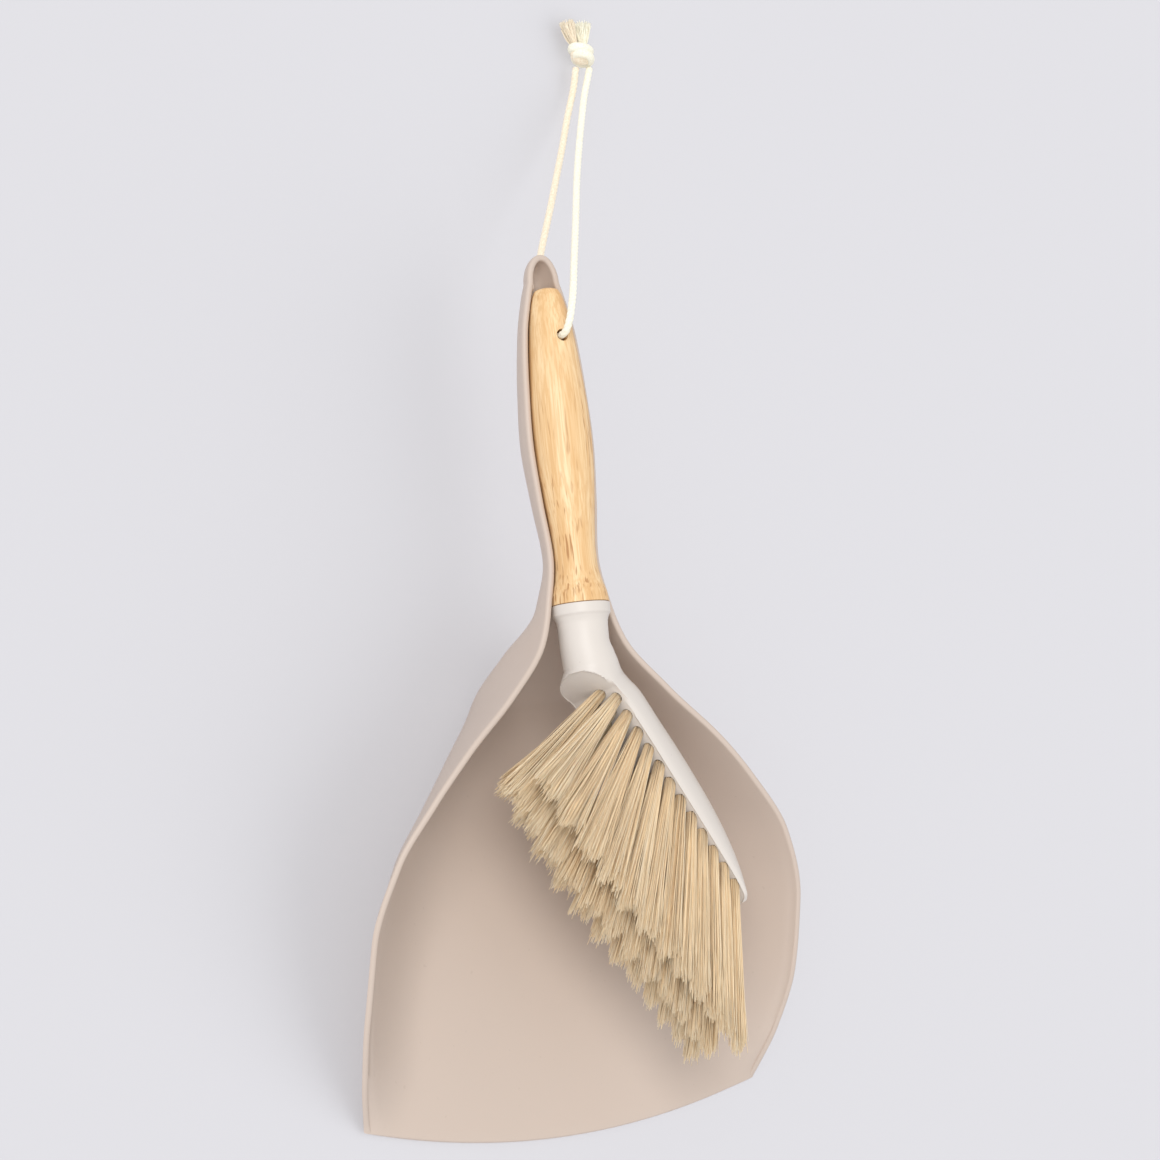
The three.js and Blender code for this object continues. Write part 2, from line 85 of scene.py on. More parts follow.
# ---- Materials ------------------------------------------------------------------------------
class Shader:
    """One Principled material and short ways to build its node tree."""

    def __init__(self, name, color, roughness, specular=0.5):
        self.material = bpy.data.materials.new(name)
        self.material.use_nodes = True
        self.tree = self.material.node_tree
        self.nodes = self.tree.nodes
        self.bsdf = self.nodes["Principled BSDF"]
        self.bsdf.inputs["Base Color"].default_value = (*color, 1)
        self.bsdf.inputs["Roughness"].default_value = roughness
        self.bsdf.inputs["Specular IOR Level"].default_value = specular
        self.where = self.nodes.new("ShaderNodeTexCoord").outputs["Object"]

    def link(self, source, target):
        self.tree.links.new(source, target)

    def scaled(self, scale):
        """Object coordinates stretched by scale."""
        mapping = self.nodes.new("ShaderNodeMapping")
        mapping.inputs["Scale"].default_value = scale
        self.link(self.where, mapping.inputs["Vector"])
        return mapping.outputs["Vector"]

    def noise(self, scale, detail=3.0, stretch=(1, 1, 1), roughness=0.5, distortion=0.0):
        node = self.nodes.new("ShaderNodeTexNoise")
        node.inputs["Scale"].default_value = scale
        node.inputs["Detail"].default_value = detail
        node.inputs["Roughness"].default_value = roughness
        node.inputs["Distortion"].default_value = distortion
        self.link(self.scaled(stretch), node.inputs["Vector"])
        return node.outputs["Fac"]

    def ramp(self, factor, stops):
        """Colours along factor: [(position, (r, g, b)), ...]."""
        node = self.nodes.new("ShaderNodeValToRGB")
        elements = node.color_ramp.elements
        while len(elements) < len(stops):
            elements.new(0.5)
        for element, (position, color) in zip(elements, stops):
            element.position = position
            element.color = (*color, 1)
        self.link(factor, node.inputs["Fac"])
        return node.outputs["Color"]

    def mix(self, factor, a, b, blend="MIX"):
        """Mixes colours a and b, each a socket or a colour, by a socket or number."""
        node = self.nodes.new("ShaderNodeMix")
        node.data_type = "RGBA"
        node.blend_type = blend
        for socket, value in ((node.inputs[0], factor), (node.inputs[6], a), (node.inputs[7], b)):
            if isinstance(value, bpy.types.NodeSocket):
                self.link(value, socket)
            elif isinstance(value, (int, float)):
                socket.default_value = value
            else:
                socket.default_value = (*value, 1)
        return node.outputs[2]

    def color(self, socket):
        self.link(socket, self.bsdf.inputs["Base Color"])

    def rough(self, factor, low, high):
        node = self.nodes.new("ShaderNodeMapRange")
        node.inputs["To Min"].default_value = low
        node.inputs["To Max"].default_value = high
        self.link(factor, node.inputs["Value"])
        self.link(node.outputs["Result"], self.bsdf.inputs["Roughness"])

    def bump(self, factor, distance, strength=1.0):
        node = self.nodes.new("ShaderNodeBump")
        node.inputs["Distance"].default_value = distance
        node.inputs["Strength"].default_value = strength
        self.link(factor, node.inputs["Height"])
        self.link(node.outputs["Normal"], self.bsdf.inputs["Normal"])


def linear(red, green, blue):
    """An sRGB colour of 0 to 255 as linear light."""
    def one(value):
        value /= 255
        return value / 12.92 if value <= 0.04045 else ((value + 0.055) / 1.055) ** 2.4
    return one(red), one(green), one(blue)


def moulded(name, base, speck, roughness):
    """Matt moulded plastic: even colour, faint clouding, rare fine specks, a fine grain."""
    shader = Shader(name, base, roughness, 0.4)
    cloud = shader.noise(14.0, 2.0)
    dull = tuple(channel * 0.955 for channel in base)
    clouded = shader.mix(cloud, dull, base)
    specks = shader.noise(420.0, 1.0)
    mask = shader.ramp(specks, [(0.745, (0, 0, 0)), (0.775, (0.15, 0.15, 0.15))])
    shader.color(shader.mix(mask, clouded, speck))
    shader.rough(shader.noise(60.0, 3.0), roughness - 0.06, roughness + 0.06)
    shader.bump(shader.noise(2600.0, 2.0), 0.00004, 0.5)
    return shader.material


PAN_COLOR = linear(207, 190, 177)
HEAD_COLOR = linear(223, 215, 207)
pan_plastic = moulded("pan_plastic", PAN_COLOR, linear(166, 148, 132), 0.46)
head_plastic = moulded("head_plastic", HEAD_COLOR, linear(170, 158, 146), 0.38)
# The walls of the tuft holes get a darker copy of the head plastic: painted shade inside the holes.
hole_painted_shade = moulded("tuft_hole_painted_shade", linear(150, 130, 112), linear(120, 100, 84), 0.6)


def bamboo_material():
    """Bamboo: long straight grain, light streaks and short dark fibre flecks."""
    shader = Shader("bamboo", linear(240, 206, 160), 0.5, 0.35)
    grain = shader.noise(170.0, 4.0, (1, 0.05, 1), 0.6, 0.3)
    base = shader.ramp(grain, [
        (0.3, linear(226, 182, 128)), (0.5, linear(238, 201, 151)), (0.68, linear(249, 220, 175)),
    ])
    lines = shader.noise(1300.0, 3.0, (1, 0.02, 1), 0.55)
    lined = shader.mix(shader.ramp(lines, [(0.42, (0.5, 0.5, 0.5)), (0.58, (0, 0, 0))]),
                       base, linear(218, 170, 112))
    flecks = shader.noise(900.0, 1.0, (1, 0.07, 1))
    fleck_mask = shader.ramp(flecks, [(0.6, (0, 0, 0)), (0.68, (0.75, 0.75, 0.75))])
    patches = shader.noise(55.0, 1.5, (1, 0.3, 1))
    patch_mask = shader.ramp(patches, [(0.42, (0.08, 0.08, 0.08)), (0.6, (1, 1, 1))])
    both = shader.mix(1.0, fleck_mask, patch_mask, "MULTIPLY")
    shader.color(shader.mix(both, lined, linear(170, 114, 64)))
    shader.rough(grain, 0.58, 0.42)
    shader.bump(lines, 0.00005, 0.5)
    return shader.material


bamboo = bamboo_material()


def fibre_material():
    """Plant fibre bristle: each filament has its own tone, with painted shade at its root, and its tip is
    a little paler.
    """
    shader = Shader("bristle", linear(222, 198, 155), 0.62, 0.3)
    tone = shader.nodes.new("ShaderNodeAttribute")
    tone.attribute_name = "tone"
    shade = shader.ramp(tone.outputs["Fac"], [
        (0.0, linear(206, 170, 122)), (0.25, linear(242, 211, 167)),
        (0.6, linear(252, 229, 192)), (1.0, linear(255, 241, 214)),
    ])
    fine = shader.noise(900.0, 2.0, (1, 0.15, 1))
    shader.color(shader.mix(shader.ramp(fine, [(0.4, (0, 0, 0)), (0.75, (0.35, 0.35, 0.35))]),
                            shade, linear(232, 202, 154)))
    shader.bsdf.inputs["Sheen Weight"].default_value = 0.15
    return shader.material


bristle = fibre_material()


def cotton_material(name, color, dark):
    """Spun cotton: pale, matt, with fine fibre relief."""
    shader = Shader(name, color, 0.9, 0.15)
    fine = shader.noise(1400.0, 3.0)
    shader.color(shader.mix(shader.ramp(fine, [(0.35, (0.5, 0.5, 0.5)), (0.6, (0, 0, 0))]), color, dark))
    shader.bump(fine, 0.00015, 0.6)
    shader.bsdf.inputs["Sheen Weight"].default_value = 0.3
    return shader.material


cotton = cotton_material("cotton_cord", linear(255, 253, 236), linear(240, 226, 194))
# A darker copy of the same cord's colour, painted shade, for the back strand, the knot's core and the left
# tail.
cotton_painted_shade = cotton_material("cotton_cord_painted_shade", linear(252, 240, 218), linear(226, 204, 168))


# ---- Mesh helpers ---------------------------------------------------------------------------
def mesh_object(name, points, faces, materials, smooth=True):
    """A mesh object from drawing millimetres."""
    mesh = bpy.data.meshes.new(name)
    mesh.from_pydata(place(points).tolist(), [], [list(map(int, face)) for face in faces])
    mesh.validate()
    mesh.update()
    for material in materials if isinstance(materials, (list, tuple)) else [materials]:
        mesh.materials.append(material)
    mesh.polygons.foreach_set("use_smooth", [smooth] * len(mesh.polygons))
    made = bpy.data.objects.new(name, mesh)
    bpy.context.scene.collection.objects.link(made)
    return made


def around(sides):
    """Evenly spaced angles of a full turn."""
    return np.arange(sides) / sides * 2 * math.pi


def grid_faces(rows, columns, closed):
    """Quads between rows of points; closed joins the last column to the first."""
    faces = []
    for i in range(rows - 1):
        for j in range(columns if closed else columns - 1):
            k = (j + 1) % columns
            faces.append((i * columns + j, i * columns + k, (i + 1) * columns + k, (i + 1) * columns + j))
    return faces


def capped(rings):
    """Points and faces of a closed body through equal rings, with a fan over each end."""
    count = len(rings)
    sides = len(rings[0])
    points = [point for ring in rings for point in ring]
    faces = grid_faces(count, sides, True)
    for ring, first, flip in ((rings[0], 0, True), (rings[-1], (count - 1) * sides, False)):
        points.append(tuple(np.mean(ring, axis=0)))
        hub = len(points) - 1
        for j in range(sides):
            pair = (first + j, first + (j + 1) % sides)
            faces.append((hub, pair[1], pair[0]) if flip else (hub, pair[0], pair[1]))
    return points, faces


def hermite(table, x, column):
    """Smooth value at x of a table of [x, value, ...] rows, by cubics that never overshoot them."""
    i = 0
    while i < len(table) - 2 and x > table[i + 1][0]:
        i += 1
    x0, x1 = table[i][0], table[i + 1][0]
    y0, y1 = table[i][column], table[i + 1][column]

    def slope(a, b):
        return (table[b][column] - table[a][column]) / (table[b][0] - table[a][0])

    def limit(left, right):
        return 0 if left * right <= 0 else 2 * left * right / (left + right)

    here = slope(i, i + 1)
    m0 = limit(slope(i - 1, i), here) if i > 0 else here
    m1 = limit(here, slope(i + 1, i + 2)) if i < len(table) - 2 else here
    t = min(1, max(0, (x - x0) / (x1 - x0)))
    h = x1 - x0
    return ((2 * t ** 3 - 3 * t ** 2 + 1) * y0 + (t ** 3 - 2 * t ** 2 + t) * h * m0
            + (-2 * t ** 3 + 3 * t ** 2) * y1 + (t ** 3 - t ** 2) * h * m1)


def spline(points, spacing):
    """A centripetal Catmull-Rom curve through points, resampled to an even spacing in mm."""
    p = np.asarray(points, float)
    p = np.vstack([2 * p[0] - p[1], p, 2 * p[-1] - p[-2]])
    fine = []
    for i in range(1, len(p) - 2):
        t = [0.0]
        for a, b in ((i - 1, i), (i, i + 1), (i + 1, i + 2)):
            t.append(t[-1] + max(1e-6, np.linalg.norm(p[b] - p[a])) ** 0.5)
        for x in np.linspace(t[1], t[2], 40, endpoint=False):
            a1 = (t[1] - x) / (t[1] - t[0]) * p[i - 1] + (x - t[0]) / (t[1] - t[0]) * p[i]
            a2 = (t[2] - x) / (t[2] - t[1]) * p[i] + (x - t[1]) / (t[2] - t[1]) * p[i + 1]
            a3 = (t[3] - x) / (t[3] - t[2]) * p[i + 1] + (x - t[2]) / (t[3] - t[2]) * p[i + 2]
            b1 = (t[2] - x) / (t[2] - t[0]) * a1 + (x - t[0]) / (t[2] - t[0]) * a2
            b2 = (t[3] - x) / (t[3] - t[1]) * a2 + (x - t[1]) / (t[3] - t[1]) * a3
            fine.append((t[2] - x) / (t[2] - t[1]) * b1 + (x - t[1]) / (t[2] - t[1]) * b2)
    fine.append(p[-2])
    fine = np.array(fine)
    reach = np.concatenate([[0], np.cumsum(np.linalg.norm(np.diff(fine, axis=0), axis=1))])
    even = np.linspace(0, reach[-1], max(8, int(reach[-1] / spacing) + 1))
    return np.stack([np.interp(even, reach, fine[:, k]) for k in range(3)], axis=1), reach[-1]


def frames(path):
    """Two directions across the path at each of its points, without twisting."""
    way = np.gradient(path, axis=0)
    way /= np.linalg.norm(way, axis=1)[:, None]
    first = np.cross(way[0], (1, 0, 0) if abs(way[0][0]) < 0.9 else (0, 1, 0))
    side = [first / np.linalg.norm(first)]
    for direction in way[1:]:
        flat = side[-1] - direction * np.dot(side[-1], direction)
        side.append(flat / np.linalg.norm(flat))
    side = np.array(side)
    return side, np.cross(way, side)


def rope(name, path, radius, material, plies=3, lay=7.5, relief=0.16, sides=24):
    """A laid cord along path: its round section has one lobe for each ply, turning once every lay mm."""
    side, other = frames(path)
    step = np.linalg.norm(np.diff(path, axis=0), axis=1)
    reach = np.concatenate([[0], np.cumsum(step)])
    rings = []
    for point, a, b, s in zip(path, side, other, reach):
        t = around(sides)
        twist = s / lay * 2 * math.pi
        lobes = np.abs(np.cos(plies / 2 * (t - twist)))
        r = radius * (1 - relief + relief * 1.3 * np.sqrt(lobes))
        rings.append((point + np.outer(r * np.cos(t), a) + np.outer(r * np.sin(t), b)).tolist())
    points, faces = capped(rings)
    return mesh_object(name, points, faces, material)


# ---- Cord -----------------------------------------------------------------------------------
# The cord goes through the brush handle and the trough under it; both ends run to the knot.
FRONT_ROUTE = [
    (0, 316.3, 46.4), (0, 316.3, 56), (0, 316.3, 66), (0.1, 317.4, 70.6), (0.7, 321.5, 73.4),
    (2.2, 327, 73.6), (5.4, 334.4, 70.8), (10.6, 346, 65), (17.6, 359.6, 56.6), (25.8, 375, 46.6),
    (34.6, 391.6, 35.6), (43.8, 408.4, 25), (52.8, 425, 15.4), (60.4, 440, 8.4), (65.4, 450.4, 5.4),
    (66.4, 453.2, 5.2),
]
BACK_ROUTE = [
    (0, 316.3, 46.1), (0, 316.3, 40), (0.4, 317.4, 36.4), (2.2, 321.6, 33.4), (5.2, 330, 32.4),
    (9.6, 345, 33), (14.4, 360.2, 33), (20.2, 371.8, 29.6), (26.8, 383.8, 25), (34.8, 398.2, 18.8),
    (43.4, 413.4, 12), (51.2, 430, 7), (57, 443.6, 5), (59.4, 453, 5),
]
CORD_RADIUS = 1.5
front_path, front_length = spline(FRONT_ROUTE, 0.55)
back_path, back_length = spline(BACK_ROUTE, 0.55)
cord_front = rope("cord_front_strand", front_path, CORD_RADIUS, cotton)
# The back strand uses the darker cord copy, painted shade.
cord_back = rope("cord_back_strand", back_path, CORD_RADIUS, cotton_painted_shade)

# The knot: two turns of the doubled cord round a core, the second hanging lower on its right.
KNOT = np.array((62.6, 459.0, 6.0))
TURN_SIDES = 20


def knot_turn(name, centre, half, thick, tilt, roll, material):
    """One closed turn of cord round the knot, as a flattened ring."""
    t = np.linspace(0, 2 * math.pi, 73)
    ring = np.stack([half[0] * np.cos(t), np.zeros_like(t), half[1] * np.sin(t)], axis=1)
    spin = np.array(Matrix.Rotation(roll, 3, "Y"))
    lean = np.array(Matrix.Rotation(tilt, 3, "Z"))
    path = ring @ spin.T @ lean.T + centre
    side, other = frames(path)
    rings = []
    for i, (point, a, b) in enumerate(zip(path[:-1], side, other)):
        u = around(TURN_SIDES)
        out = point - centre
        out = out / np.linalg.norm(out)
        along = np.cross(out, np.cross(a, b))
        lobes = 1 - 0.07 + 0.09 * np.abs(np.cos(1.5 * (u - i * 0.55)))
        rings.append((point + np.outer(thick * 0.78 * lobes * np.cos(u), out)
                      + np.outer(thick * lobes * np.sin(u), along)).tolist())
    points = [corner for section in rings for corner in section]
    faces = grid_faces(len(rings), TURN_SIDES, True)
    last = (len(rings) - 1) * TURN_SIDES
    for j in range(TURN_SIDES):
        k = (j + 1) % TURN_SIDES
        faces.append((last + j, last + k, k, j))
    return mesh_object(name, points, faces, material)


def knot_core():
    """The rounded body of the knot that the two turns lie on."""
    rings = []
    for step in range(1, 24):
        angle = step / 24 * math.pi
        t = around(32)
        r = math.sin(angle)
        rings.append(np.stack([
            KNOT[0] + 5.4 * r * np.cos(t), np.full(32, KNOT[1] - 4.6 * math.cos(angle)),
            KNOT[2] + 4.2 * r * np.sin(t),
        ], axis=1).tolist())
    points, faces = capped(rings)
    return mesh_object("knot_core", points, faces, cotton_painted_shade)


knot_parts = [
    knot_core(),
    knot_turn("knot_turn_upper", KNOT + (-0.2, 2.0, 0), (5.0, 3.8), 2.0, math.radians(-9), 0.3, cotton),
    knot_turn("knot_turn_lower", KNOT + (0.3, -1.6, 0), (5.2, 3.8), 2.15, math.radians(-19), 1.1, cotton),
]


YARN_STEPS, YARN_SIDES = 5, 4
YARN_RADIUS, YARN_TAPER = 0.28, 0.3
YARN_ROOT = 1.2             # the yarns start this far inside the cord's end


def frayed_tail(name, start, end, spread, material, count=300):
    """The cord's unlaid end: fine yarns that fan out and curl a little."""
    start, end = np.array(start, float), np.array(end, float)
    way = (end - start) / np.linalg.norm(end - start)
    side = np.cross(way, (0, 0, 1.0))
    side /= np.linalg.norm(side)
    up = np.cross(side, way)
    points, faces = [], []
    for _ in range(count):
        angle = random.uniform(0, 2 * math.pi)
        far = math.sqrt(random.uniform(0, 1))
        reach = random.uniform(0.72, 1.04) * np.linalg.norm(end - start)
        curl = random.uniform(-0.9, 0.9, 2)
        root = start - way * YARN_ROOT + far * 1.1 * (side * math.cos(angle) + up * math.sin(angle))
        tip = far * spread * (side * math.cos(angle) + up * 0.8 * math.sin(angle))
        first = len(points)
        for k in range(YARN_STEPS + 1):
            s = k / YARN_STEPS
            middle = root + way * (reach + YARN_ROOT) * s + tip * s ** 1.3
            middle = middle + (side * curl[0] + up * curl[1]) * math.sin(s * math.pi) * 0.8
            thick = YARN_RADIUS * (1 - YARN_TAPER * s)
            for corner in range(YARN_SIDES):
                t = corner / YARN_SIDES * 2 * math.pi
                points.append(middle + side * thick * math.cos(t) + up * thick * math.sin(t))
        sheath = grid_faces(YARN_STEPS + 1, YARN_SIDES, True)
        faces += [tuple(first + i for i in face) for face in sheath]
        last = first + YARN_STEPS * YARN_SIDES
        faces.append(tuple(range(first + YARN_SIDES - 1, first - 1, -1)))
        faces.append(tuple(range(last, last + YARN_SIDES)))
    return mesh_object(name, points, faces, material)


tail_left = frayed_tail("tail_left", (59.8, 463.2, 5.4), (57.0, 474.2, 5.0), 2.7, cotton_painted_shade)
tail_right = frayed_tail("tail_right", (64.2, 463.2, 5.6), (65.2, 474.0, 4.8), 3.3, cotton)

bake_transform(cord_front)
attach(cord_back, "dustpan")
for knotted in knot_parts + [tail_left, tail_right]:
    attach(knotted, "dustpan")
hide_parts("cord_front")
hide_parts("cord_back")
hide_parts("cord_knot")
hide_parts("cord_tail_left")
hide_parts("cord_tail_right")


# ---- Dust pan -------------------------------------------------------------------------------
PAN_LENGTH = 353
LIP_BOW, LIP_BOW_REACH, LIP_HALF = 13.6, 120, 95.3
WALL, FLOOR = 2.7, 2.5
NOSE_START, NOSE_BASE = 341, 53
# [y, half width, rim height, base height, flat half width, wall power, roundness]
PAN_SECTIONS = [
    (0, LIP_HALF, FLOOR + 0.3, 0, 80, 1.6, 1), (20, 100.9, 17.5, 0, 70, 1.7, 1),
    (45, 103.9, 32, 0, 64, 1.8, 1), (75, 103, 43.5, 0, 54, 1.9, 1),
    (105, 93.8, 53.3, 0, 42.4, 2.3, 1.1), (128, 77.5, 58, 0, 35, 2.2, 1.15),
    (148, 60, 60, 0, 29, 2.15, 1.25), (169, 38, 60, 1, 24, 1.8, 1.55),
    (190, 20.6, 58.5, 18, 14, 3.1, 1.9), (206, 15.4, 57.7, 37.5, 0, 3.2, 2.3),
    (225, 12.1, 57.5, 42, 0, 2.2, 2), (249, 14.3, 57.5, 39.3, 0, 2.2, 2),
    (274, 15.8, 57.5, 36.5, 0, 2.2, 2), (297, 14.8, 57.5, 38.3, 0, 2.2, 2),
    (319, 12.8, 57.5, 41.5, 0, 2.2, 2), (336, 9, 57.5, 44, 0, 2.2, 2), (347, 5.6, 57.5, 48.5, 0, 2, 2),
]
PAN_SLICES, PAN_STEPS, RIM_STEPS = 170, 72, 7
RIM_DROP = 1.1            # height of the rim's rounding


def nose(y):
    """How far the nose's arc has closed at y: 1 where it starts, 0 at the tip."""
    return max(0.0, 1 - ((y - NOSE_START) / (PAN_LENGTH - NOSE_START)) ** 2) ** 0.5


def half_width(y):
    """Half the pan's outer width at y."""
    if y <= NOSE_START:
        return hermite(PAN_SECTIONS, y, 1)
    return hermite(PAN_SECTIONS, NOSE_START, 1) * nose(y)


def base_height(y):
    """Height of the pan's underside at y."""
    if y <= NOSE_START:
        return hermite(PAN_SECTIONS, y, 3)
    start = hermite(PAN_SECTIONS, NOSE_START, 3)
    return start + (NOSE_BASE - start) * (1 - nose(y))


def pan_section(y, inside):
    """One section from the left rim under to the right rim, evenly spaced on its arc."""
    half = half_width(y)
    probe = min(0.05, (PAN_LENGTH - y) / 2 + 1e-5)
    lean = (half_width(y + probe) - half_width(y - probe)) / (2 * probe)
    length = math.hypot(1, lean)
    width = max(0, half - WALL / length) if inside else half
    shift = WALL * lean / length if inside else 0
    rim = hermite(PAN_SECTIONS, y, 2)
    base = base_height(y) + (FLOOR if inside else 0)
    flat = min(hermite(PAN_SECTIONS, y, 4), width * 0.9)
    power, roundness = hermite(PAN_SECTIONS, y, 5), hermite(PAN_SECTIONS, y, 6)
    u = np.sin(np.linspace(0, math.pi / 2, 241))
    rise = 1 - np.maximum(0, 1 - u ** power) ** (1 / roundness)
    x = np.concatenate([[0], flat + (width - flat) * u])
    z = np.concatenate([[base], base + (rim - base) * rise])
    reach = np.concatenate([[0], np.cumsum(np.hypot(np.diff(x), np.diff(z)))])
    want = np.linspace(0, reach[-1], PAN_STEPS // 2 + 1)
    x, z = np.interp(want, reach, x), np.interp(want, reach, z)
    drop = min(RIM_DROP, max(0, rim - base) * 0.5)
    near_rim = np.clip(1 - (reach[-1] - want) / 6, 0, 1) ** 2
    z = z - drop * near_rim
    x = np.concatenate([-x[:0:-1], x])
    z = np.concatenate([z[:0:-1], z])
    fade = max(0, 1 - y / LIP_BOW_REACH) ** 2
    bow = LIP_BOW * np.maximum(0, 1 - (x / LIP_HALF) ** 2) * fade
    return np.stack([x, y + shift - bow, z], axis=1)


def rounded(a, b, out):
    """Points of a half ellipse from a to b that stands out by the given vector."""
    middle, half = (a + b) / 2, (b - a) / 2
    points = []
    for k in range(1, RIM_STEPS):
        t = k / RIM_STEPS * math.pi
        points.append(middle - half * math.cos(t) + np.asarray(out) * math.sin(t))
    return points


def pan_shell():
    """The whole moulding, with a rounded rim and lip."""
    rings = []
    for i in range(PAN_SLICES + 1):
        t = i / PAN_SLICES
        y = PAN_LENGTH * (1 - (1 - t) ** 1.35 * (1 - 0.12 * t))
        y = 0.0 if i == 0 else min(y, PAN_LENGTH)
        outer, inner = pan_section(y, False), pan_section(y, True)
        rim = hermite(PAN_SECTIONS, y, 2)
        up = (0, 0, min(RIM_DROP, max(0, rim - base_height(y) - FLOOR) * 0.5))
        rings.append([*outer, *rounded(outer[-1], inner[-1], up), *inner[::-1],
                      *rounded(inner[0], outer[0], up)])
    points = [point for ring in rings for point in ring]
    count = len(rings[0])
    faces = grid_faces(len(rings), count, True)
    # The lip's edge is rounded over between the underside and the inside.
    outer_first, inner_last = 0, PAN_STEPS + 1 + RIM_STEPS - 1 + PAN_STEPS
    columns = []
    for j in range(PAN_STEPS + 1):
        a, b = outer_first + j, inner_last - j
        start = len(points)
        points += rounded(points[a], points[b], (0, -0.7, 0))
        columns.append([a, *range(start, start + RIM_STEPS - 1), b])
    for j in range(PAN_STEPS):
        for k in range(RIM_STEPS):
            faces.append((columns[j][k], columns[j][k + 1], columns[j + 1][k + 1], columns[j + 1][k]))
    shell = mesh_object("pan_shell", points, faces, pan_plastic)
    tidy(shell, 0.02)
    return shell


def tidy(made, distance):
    """Merges points closer than distance in mm and turns all faces outwards."""
    work = bmesh.new()
    work.from_mesh(made.data)
    bmesh.ops.remove_doubles(work, verts=work.verts, dist=distance * MM)
    open_edges = [edge for edge in work.edges if edge.is_boundary]
    if open_edges:
        bmesh.ops.holes_fill(work, edges=open_edges, sides=0)
    bmesh.ops.recalc_face_normals(work, faces=work.faces)
    for face in work.faces:
        face.smooth = True
    work.to_mesh(made.data)
    work.free()


def cut(made, cutter):
    """Subtracts cutter from made and removes it."""
    modifier = made.modifiers.new("cut", "BOOLEAN")
    modifier.operation = "DIFFERENCE"
    modifier.solver = "EXACT"
    modifier.object = cutter
    settle(made)
    bpy.data.objects.remove(cutter)


def settle(made):
    """Makes made's modifiers part of its mesh."""
    bpy.context.view_layer.update()
    depsgraph = bpy.context.evaluated_depsgraph_get()
    mesh = bpy.data.meshes.new_from_object(made.evaluated_get(depsgraph))
    made.modifiers.clear()
    made.data = mesh


def drill(radius, x, y, low, high, sides=40):
    """An upright cylinder that cuts a hole."""
    rings = []
    for z, r in ((low, radius), (high, radius)):
        t = around(sides)
        rings.append(np.stack([x + r * np.cos(t), y + r * np.sin(t), np.full(sides, z)], axis=1).tolist())
    points, faces = capped(rings)
    return mesh_object("drill", points, faces, pan_plastic)


def crease(made, angle):
    """Keeps edges sharper than angle in degrees crisp and shades the rest smooth."""
    mesh = made.data
    mesh.polygons.foreach_set("use_smooth", [True] * len(mesh.polygons))
    mesh.set_sharp_from_angle(angle=math.radians(angle))


HOLE_RADIUS = 2.6
pan = pan_shell()
cut(pan, drill(HOLE_RADIUS, 0, CORD_Y, 28, BRUSH_Z))
crease(pan, 50)
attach(pan, "dustpan")
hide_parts("dustpan", "dustpan_handle")


BLOB_SIDES = 20


def blob(name, centre, half, turn_z, material, power=3.0):
    """A small rounded lump."""
    rings = []
    lean = np.array(Matrix.Rotation(turn_z, 3, "Z"))
    for step in range(1, 12):
        angle = step / 12 * math.pi
        t = around(BLOB_SIDES)
        c = np.sign(np.cos(t)) * np.abs(np.cos(t)) ** (2 / power)
        s = np.sign(np.sin(t)) * np.abs(np.sin(t)) ** (2 / power)
        r = math.sin(angle) ** (2 / power)
        z = -math.copysign(abs(math.cos(angle)) ** (2 / power), math.cos(angle))
        ring = np.stack([half[0] * r * c, half[1] * r * s, np.full(BLOB_SIDES, half[2] * z)], axis=1)
        rings.append((ring @ lean.T + np.asarray(centre)).tolist())
    points, faces = capped(rings)
    return mesh_object(name, points, faces, material)


# A small moulded stop on the trough's left wall, beside the end of the bamboo handle.
stop = blob("trough_stop", (-5.4, 339.4, 55.2), (1.1, 1.7, 1.3), math.radians(-12), pan_plastic)
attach(stop, "dustpan")

# ---- Brush head -----------------------------------------------------------------------------
# [middle x, middle y, reach to the front and to the back, half height, degrees its path has turned]
HEAD_SECTIONS = [
    (0, 204.6, 12.2, 12.2, 12.2, 0), (0, 201, 12.2, 12.2, 12.2, 0), (0, 199.4, 11.4, 11.4, 11.4, 0),
    (0, 196.5, 10.6, 10.6, 10.6, 0), (0, 190, 10.4, 10.4, 10.5, 0),
    (0.6, 183.5, 10.7, 11.6, 10.9, 6), (2.4, 175.6, 11.4, 12.6, 11.3, 14),
    (6.3, 168.6, 10.8, 13.2, 11.7, 23), (12, 162.4, 8.4, 12.8, 11.8, 28),
    (20, 149.6, 6.1, 12.6, 11.8, 30.75), (29, 134, 5.3, 13, 11.5, 30.75),
    (39, 117.2, 4.6, 12.4, 11.1, 30.75), (48.8, 100.2, 3.9, 10.6, 10.6, 29),
    (56.4, 86.4, 3.3, 7, 10, 26), (59.6, 79.6, 2.8, 3.6, 9.2, 22), (60.6, 77.2, 1.7, 1.9, 7.2, 20),
]
FRONT_SQUARENESS, BACK_SQUARENESS, FRONT_REACH, BLOCK_TURN = 3.4, 1.4, 7, 10
HEAD_SIDES = 96
ROW_PITCH, ROW_GAP = 8.52, 6.2
FIRST_ROOT = np.array((5.3, 163.1, 60.3))
row_angle, face_tilt = math.radians(30.75), math.radians(22)
ALONG_ROWS = np.array((math.sin(row_angle), -math.cos(row_angle), 0))
FACE_OUT = np.array((
    -math.cos(row_angle) * math.cos(face_tilt), -math.sin(row_angle) * math.cos(face_tilt),
    math.sin(face_tilt),
))
FACE_UP = np.cross(FACE_OUT, ALONG_ROWS)
FACE_ROUND = 0.9          # the tuft face meets the block in an edge this soft
# Past the first tufts the face bends out to the heel, with a short ease at the start of the bend.
HEEL_START, HEEL_SLOPE, HEEL_EASE = 5.0, 0.42, 0.12


